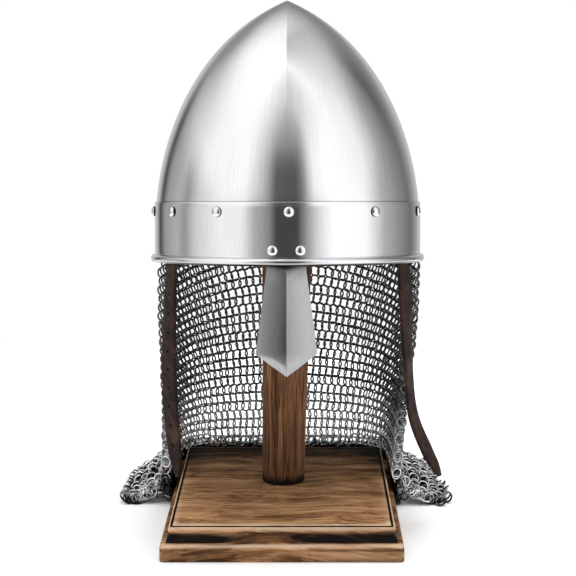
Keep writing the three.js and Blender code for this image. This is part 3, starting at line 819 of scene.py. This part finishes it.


# stand

# oak, scorched with a torch, brushed and oiled: dark streaks along the grain, black in the cove from char and
# painted shade, worn edges with painted highlights
def scorchedOak(name, size):
    material, tree, shader = newMaterial(name)
    place = addNode(tree, "ShaderNodeTexCoord").outputs["Object"]
    bend = addNode(tree, "ShaderNodeTexNoise", {"Vector": place, "Scale": 11.0, "Detail": 2.0})
    shift = addNode(tree, "ShaderNodeVectorMath", {
        0: bend.outputs["Color"], 1: [size["wave"]] * 3}, operation="MULTIPLY")
    moved = addNode(tree, "ShaderNodeVectorMath", {0: place, 1: shift.outputs["Vector"]}, operation="ADD")
    long = addNode(tree, "ShaderNodeMapping", {"Vector": moved.outputs["Vector"], "Scale": size["stretch"]})
    bands = addNode(tree, "ShaderNodeTexNoise", {
        "Vector": long.outputs["Vector"], "Scale": size["bands"], "Detail": 3.0, "Roughness": 0.6})
    fibre = addNode(tree, "ShaderNodeTexNoise", {
        "Vector": long.outputs["Vector"], "Scale": size["fibres"], "Detail": 3.0, "Roughness": 0.7})
    both = addNode(tree, "ShaderNodeMix", {
        "Factor": size["fibreShare"], "A": bands.outputs["Fac"], "B": fibre.outputs["Fac"]},
        data_type="FLOAT")
    tone = colourRamp(tree, both.outputs["Result"], size["tones"])
    scorchAndShade = addNode(tree, "ShaderNodeAttribute", attribute_name="scorchAndShade").outputs["Fac"]
    patch = addNode(tree, "ShaderNodeTexNoise", {
        "Vector": long.outputs["Vector"], "Scale": 14.0, "Detail": 4.0})
    spread = addNode(tree, "ShaderNodeMath", {0: patch.outputs["Fac"], 1: 1.2}, operation="MULTIPLY")
    total = addNode(tree, "ShaderNodeMath", {0: scorchAndShade, 1: spread.outputs["Value"]}, operation="ADD")
    # char and painted shade: near black where the scorch attribute and the patches run high
    charAndShade = addNode(tree, "ShaderNodeMapRange", {
        "Value": total.outputs["Value"], "From Min": 0.72, "From Max": 1.55})
    # worn pale, partly painted highlight, where they run low
    wornAndLit = addNode(tree, "ShaderNodeMapRange", {
        "Value": total.outputs["Value"], "From Min": 0.55, "From Max": -0.35, "To Max": 0.9})
    dark = mixColours(tree, charAndShade.outputs["Result"], tone, srgb("#0c0705"))
    pale = mixColours(tree, wornAndLit.outputs["Result"], dark, srgb("#cbb39c"))
    tree.links.new(pale, shader.inputs["Base Color"])
    rough = addNode(tree, "ShaderNodeMapRange", {
        "Value": both.outputs["Result"], "From Min": 0.35, "From Max": 0.65, "To Min": 0.75, "To Max": 0.55})
    tree.links.new(rough.outputs["Result"], shader.inputs["Roughness"])
    shader.inputs["Specular IOR Level"].default_value = 0.12
    bump = addNode(tree, "ShaderNodeBump", {
        "Height": both.outputs["Result"], "Strength": 0.4, "Distance": 0.0006})
    tree.links.new(bump.outputs["Normal"], shader.inputs["Normal"])
    return material


board = {
    **boardSize, "corner": 3, "cornerSteps": 6,
    # inset and height along the moulded edge, from the floor to the top
    "edge": [(1, 0), (0.25, 0.35), (0, 1.2), (0, 2.6), (0, 4), (0, 8), (0, 9.2), (0, 9.9), (0.15, 10.9),
             (0.9, 11.9), (1.8, 12.4), (3, 12.6), (4.0, 12.8), (4.5, 13.4), (4.7, 14.2), (5.2, 15.8),
             (6.1, 17.6), (7.1, 19.1), (7.2, 19.6), (6.7, 20.5), (6.3, 21.4), (6.15, 22.4), (6.25, 23.4),
             (6.7, 24.4), (7.4, 24.85), (7.9, 24.7), (8.3, 23.8), (8.9, 23.8), (9.2, 25.0), (9.9, 25.4),
             (11, 25.4), (15, 25.4), (18, 25.4)],
    "lines": 40,
    # how dark the moulding is at each height from the floor: char, black in the cove with painted shade, and
    # painted shadow along the bottom edge and under the ledge's lip; below nought it is worn pale, partly
    # painted highlight on the ledge and the bead
    "burnAndShade": [(0, 0.6), (2.6, 0.5), (4, 0.32), (8, 0.3), (9.2, 0.65), (10.2, 0.55), (11, -0.3),
             (12.2, -0.75), (12.7, -0.5), (13.3, 0.85), (14.2, 1.0), (18.6, 1.0), (19.6, 0.75),
             (20.5, 0.4), (21.4, 0.05), (22.4, -0.4), (24.9, -0.75)],
}
boardWood = scorchedOak("scorchedOakBoard", {
    "stretch": (1, 14, 14), "wave": 0.035, "bands": 6.0, "fibres": 32.0, "fibreShare": 0.5,
    "tones": [(0.36, "#3f2814"), (0.45, "#7d5736"), (0.53, "#ab7f57"), (0.62, "#c79d72")]})
postWood = scorchedOak("scorchedOakPost", {
    "stretch": (26, 26, 1), "wave": 0.005, "bands": 6.0, "fibres": 26.0, "fibreShare": 0.6,
    "tones": [(0.36, "#241409"), (0.45, "#5f3f28"), (0.53, "#82593b"), (0.63, "#a27a58")]})


def boardLoop(inset, z):
    halfWidth = board["halfWidth"] - inset
    halfDepth = (board["back"] - board["front"]) / 2 - inset
    middle = (board["back"] + board["front"]) / 2
    radius = max(0.8, board["corner"] - max(0, inset) * 0.2)
    loop = []
    for quarter, sx, sy in [(0, 1, 1), (1, -1, 1), (2, -1, -1), (3, 1, -1)]:
        for i in range(board["cornerSteps"] + 1):
            turn = (quarter + i / board["cornerSteps"]) * math.pi / 2
            loop.append(Vector((sx * (halfWidth - radius) + radius * math.cos(turn),
                                sy * (halfDepth - radius) + radius * math.sin(turn) + middle, z)) * mm)
    return loop


def setScorchAndShade(piece, rule):  # how far the torch burnt each point, with painted shade added; below nought it is worn pale, partly painted highlight
    layer = piece.data.attributes.new("scorchAndShade", "FLOAT", "POINT")
    layer.data.foreach_set("value", [rule(v.co / mm) for v in piece.data.vertices])


# the torch's char on the board, with painted shade in the groove, towards the back, at the back corners and
# on the side walls: how strong each is, and the stretch in mm over which it comes in
torchAndShade = {
    "grooveShade": 1.2, "grooveInset": (7.8, 9.6), "grooveTop": 25.1,
    "rim": 0.45, "frontRim": 0.35, "frontRimOver": (24, 16), "rimInset": (16, 11), "rimAlong": (60, 0),
    "top": 0.1, "middle": 0.2, "middleAlong": (-90, 20), "back": 0.6, "backShadeAlong": (30, 98),
    "sides": 0.25, "cornerShadeAcross": (60, 82), "cornerShadeAlong": (-20, 60),
    "frontPatch": 0.6, "frontPatchAt": -18, "frontPatchReach": 24,
    "sideWallShade": 0.5, "sideWallShadeFrom": 9, "sideWallShadeTop": 20,
}


def topScorchAndShade(p, inset):
    if p.z < torchAndShade["grooveTop"] and inset < torchAndShade["grooveInset"][1]:
        # painted shade in the groove round the top
        return torchAndShade["grooveShade"]
    fromFront = p.y - board["front"]
    rim = torchAndShade["rim"] + torchAndShade["frontRim"] * smoothstep(fromFront, *torchAndShade["frontRimOver"])
    rim *= smoothstep(inset, *torchAndShade["rimInset"]) * smoothstep(p.y, *torchAndShade["rimAlong"])
    # char, with painted shade coming in towards the back of the top, near the mail
    back = torchAndShade["top"] + torchAndShade["middle"] * smoothstep(p.y, *torchAndShade["middleAlong"])
    back += torchAndShade["back"] * smoothstep(p.y, *torchAndShade["backShadeAlong"])
    # painted shade at the back corners, beside the heaped mail
    across = smoothstep(abs(p.x), *torchAndShade["cornerShadeAcross"])
    return back + torchAndShade["sides"] * across * smoothstep(p.y, *torchAndShade["cornerShadeAlong"]) - rim


def boardScorchAndShade(p):
    inset = min(boardOverlap(p), p.y - board["front"])
    if inset > torchAndShade["grooveInset"][0]:
        return topScorchAndShade(p, inset)
    # char along the moulding, with painted shade and painted highlights from the table
    burnAndShade = float(np.interp(p.z, *zip(*board["burnAndShade"])))
    if burnAndShade > 0.5:  # lighter across one part of the front, where it is darkest
        burnAndShade -= math.exp(-((p.x - torchAndShade["frontPatchAt"]) / torchAndShade["frontPatchReach"]) ** 2) * torchAndShade["frontPatch"]
    # painted shade on the side walls, under the heaped mail
    if p.y > board["front"] + torchAndShade["sideWallShadeFrom"] and p.z < torchAndShade["sideWallShadeTop"]:
        burnAndShade = max(torchAndShade["sideWallShade"], burnAndShade)
    return burnAndShade


def buildBoard():
    loops = [boardLoop(inset, z) for inset, z in board["edge"]]
    piece = loftMesh("standBoard", loops, boardWood)
    bm = bmesh.new()  # rows across the top, so that the painted shade can come in towards the back
    bm.from_mesh(piece.data)
    for k in range(1, board["lines"]):
        y = board["front"] + (board["back"] - board["front"]) * k / board["lines"]
        bmesh.ops.bisect_plane(bm, geom=bm.verts[:] + bm.edges[:] + bm.faces[:], dist=1e-6,
                               plane_co=(0, y * mm, 0), plane_no=(0, 1, 0))
    for k in range(1, board["lines"] // 2):
        x = board["halfWidth"] * (4 * k / board["lines"] - 1)
        bmesh.ops.bisect_plane(bm, geom=bm.verts[:] + bm.edges[:] + bm.faces[:], dist=1e-6,
                               plane_co=(x * mm, 0, 0), plane_no=(1, 0, 0))
    bm.to_mesh(piece.data)
    bm.free()
    setScorchAndShade(piece, boardScorchAndShade)
    return piece


post = {
    "foot": 25.7, "footRadius": 17, "rimRadius": 19.5, "rim": 209.5, "top": 392, "lean": 3.2,
    "sides": 72, "rows": 24, "footBevel": 0.8, "topBevel": 8,
    # how dark it is: scorched all over, darker towards the foot, and black at the foot with painted contact
    # shadow
    "scorchAndShade": 0.26, "lowerDarkening": 0.24, "lowFrom": 120, "footShadow": 0.7, "footFrom": 29, "footFull": 26,
}


def postScorchAndShade(p):
    low = post["lowerDarkening"] * smoothstep(p.z, post["lowFrom"], post["footFull"])
    # darker towards the foot, then painted contact shadow at the foot
    return post["scorchAndShade"] + low + post["footShadow"] * smoothstep(p.z, post["footFrom"], post["footFull"])


def buildPost():
    foot = post["foot"] + post["footBevel"]

    def circle(radius, z):
        shift = post["lean"] * (z - boardSize["top"]) / (post["rim"] - boardSize["top"])
        turns = [i / post["sides"] * tau for i in range(post["sides"])]
        return [Vector((radius * math.cos(turn) + shift, radius * math.sin(turn), z)) * mm for turn in turns]

    loops = [circle(post["footRadius"] - post["footBevel"], post["foot"])]
    for k in range(post["rows"] + 1):
        share = k / post["rows"]
        radius = post["footRadius"] + (post["rimRadius"] - post["footRadius"]) * share
        loops.append(circle(radius, foot + (post["rim"] - foot) * share))
    loops.append(circle(post["rimRadius"], post["top"] - post["topBevel"]))
    loops.append(circle(post["rimRadius"] - post["topBevel"], post["top"]))
    piece = loftMesh("standPost", loops, postWood)
    setScorchAndShade(piece, postScorchAndShade)
    return piece


standBoard = buildBoard()
standPost = buildPost()
print("stand made")


# every piece on the one body, in place of its CAD solid

bandNodes = ["band_rivet_%02d" % (k + 1) for k in range(len(rivets["bandAngles"]))]
pieces = [
    (skullShell, ["skull"], "helmet_steel"),
    (browBand, ["brow_band"], "helmet_steel"),
    (nasalPlate, ["nasal"], "helmet_steel"),
    (bandRivets, bandNodes, "helmet_steel"),
    (nasalRivets, ["nasal_rivet_left", "nasal_rivet_right"], "helmet_steel"),
    (curtainUpper, ["mail_curtain"], "mail_steel"),
    (curtainLower, ["mail_curtain"], "mail_steel"),
    (heapFirst, ["mail_heap"], "mail_steel"),
    (heapSecond, ["mail_heap"], "mail_steel"),
    (strapPieces["left"], ["strap_left"], "strap_leather"),
    (strapPieces["right"], ["strap_right"], "strap_leather"),
    (standBoard, ["stand_base"], "stand_wood"),
    (standPost, ["stand_post"], "stand_wood"),
]
for piece, nodes, slotName in pieces:
    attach(piece, "root")
    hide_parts(*nodes)

cadFinish = {"mail_wire": ringSteel, "strap_rivet_left": bandSteel, "strap_rivet_right": bandSteel}
for node, material in cadFinish.items():
    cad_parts[node].data.materials.clear()
    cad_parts[node].data.materials.append(material)


# floor, light and camera

studio = {
    "floor": "#f6f6f6", "floorSize": 1.3,
    "lens": 1583.6, "image": 576, "cameraAt": (13.5, -1246.2, 399.6),
    "pitch": 9.8, "yaw": -0.43, "roll": -0.13,
    "lampStrength": 2.2, "lampSpread": 50, "lampTurn": (-12, 6, 0),
}


def buildFloor():
    half = studio["floorSize"] / 2
    corners = [(-half, -half, 0), (half, -half, 0), (half, half, 0), (-half, half, 0)]
    floor = meshObject("studioFloor", corners, [(0, 1, 2, 3)], smooth=False)
    material, tree, shader = newMaterial("matteWhiteFloor")
    shader.inputs["Base Color"].default_value = srgb(studio["floor"])
    shader.inputs["Roughness"].default_value = 0.9
    floor.data.materials.append(material)


def addOverheadLight():  # soft, even light on the floor, wood and leather
    data = bpy.data.lights.new("overheadLight", "SUN")
    data.energy = studio["lampStrength"]
    data.angle = math.radians(studio["lampSpread"])
    lamp = bpy.data.objects.new("overheadLight", data)
    lamp.visible_glossy = False  # the steel mirrors the world instead
    lamp.rotation_euler = [math.radians(turn) for turn in studio["lampTurn"]]
    bpy.context.collection.objects.link(lamp)


# what the steel mirrors: how bright the room is round the compass, 0 towards the camera and 90 to its right
room = {
    "strength": 2.0,
    "eyeLevel": [(-180, 0.6), (-157, 0.65), (-144, 0.05), (-134, 0.4), (-114, 0.6), (-103, 0.4),
                 (-90, 0.85), (-64, 1.25), (-42, 1.2), (-31, 0.6), (-17, 0.35), (-10, 0.08), (10, 0.08),
                 (18, 0.4), (30, 1.0), (45, 1.5), (76, 1.4), (97, 0.6), (118, 0.35), (136, 0.2),
                 (148, 0.4), (158, 0.6), (180, 0.6)],
    "raised": [(-180, 0.3), (-148, 0.35), (-132, 0.65), (-112, 0.95), (-88, 1.3), (-44, 1.4), (-25, 0.75),
               (-12, 0.15), (10, 0.12), (17, 0.3), (28, 1.3), (45, 1.5), (84, 1.25), (108, 0.5),
               (130, 0.15), (150, 0.3), (180, 0.3)],
    "overhead": [(-180, 1.2), (-120, 1.5), (-56, 1.5), (-22, 1.05), (0, 0.8), (26, 0.95), (60, 1.4),
                 (90, 1.1), (124, 0.85), (152, 0.7), (180, 1.2)],
    "raisedFrom": (8, 24), "overheadFrom": (30, 64),  # degrees up from the floor
}


def buildWorld():
    world = bpy.data.worlds.new("studio")
    bpy.context.scene.world = world
    world.use_nodes = True
    tree = world.node_tree
    way = addNode(tree, "ShaderNodeSeparateXYZ", {
        "Vector": addNode(tree, "ShaderNodeTexCoord").outputs["Generated"]})
    front = addNode(tree, "ShaderNodeMath", {0: way.outputs["Y"], 1: -1.0}, operation="MULTIPLY")
    compass = addNode(tree, "ShaderNodeMath", {
        0: way.outputs["X"], 1: front.outputs["Value"]}, operation="ARCTAN2")
    turn = addNode(tree, "ShaderNodeMapRange", {
        "Value": compass.outputs["Value"], "From Min": -math.pi, "From Max": math.pi})
    height = addNode(tree, "ShaderNodeMath", {0: way.outputs["Z"]}, operation="ARCSINE")
    result = None
    for ring, fade in (("eyeLevel", None), ("raised", "raisedFrom"), ("overhead", "overheadFrom")):
        node = addNode(tree, "ShaderNodeValToRGB", {"Fac": turn.outputs["Result"]})
        ramp = node.color_ramp
        ramp.interpolation = "LINEAR"
        while len(ramp.elements) < len(room[ring]):
            ramp.elements.new(0.5)
        for element, (degrees, level) in zip(ramp.elements, room[ring]):
            element.position = (degrees + 180) / 360
            element.color = [level / room["strength"]] * 3 + [1]
        if result is None:
            result = node.outputs["Color"]
            continue
        low, high = (math.radians(d) for d in room[fade])
        blend = addNode(tree, "ShaderNodeMapRange", {
            "Value": height.outputs["Value"], "From Min": low, "From Max": high},
            interpolation_type="SMOOTHSTEP")
        result = mixColours(tree, blend.outputs["Result"], result, node.outputs["Color"])
    seen = addNode(tree, "ShaderNodeLightPath").outputs["Is Camera Ray"]
    paper = mixColours(tree, seen, result, (0.5, 0.5, 0.5, 1))  # the camera sees white paper behind it
    background = tree.nodes["Background"]
    tree.links.new(paper, background.inputs["Color"])
    background.inputs["Strength"].default_value = room["strength"]


def buildCamera():
    pitch, yaw, roll = (math.radians(studio[k]) for k in ("pitch", "yaw", "roll"))
    level = Vector((math.sin(yaw), math.cos(yaw), 0))
    forward = level * math.cos(pitch) - Vector((0, 0, math.sin(pitch)))
    right = Vector((math.cos(yaw), -math.sin(yaw), 0))
    up = right.cross(forward)
    cosine, sine = math.cos(roll), math.sin(roll)
    right, up = right * cosine + up * sine, up * cosine - right * sine
    data = bpy.data.cameras.new("camera")
    data.sensor_width = 36
    data.lens = studio["lens"] * data.sensor_width / studio["image"]
    data.clip_end = 100
    camera = bpy.data.objects.new("camera", data)
    turn = Matrix((right, up, -forward)).transposed().to_4x4()
    turn.translation = Vector(studio["cameraAt"]) * mm
    camera.matrix_world = turn
    bpy.context.collection.objects.link(camera)
    bpy.context.scene.camera = camera


bpy.context.scene.view_settings.view_transform = "Standard"
buildFloor()
buildWorld()
addOverheadLight()
buildCamera()
print("studio made")
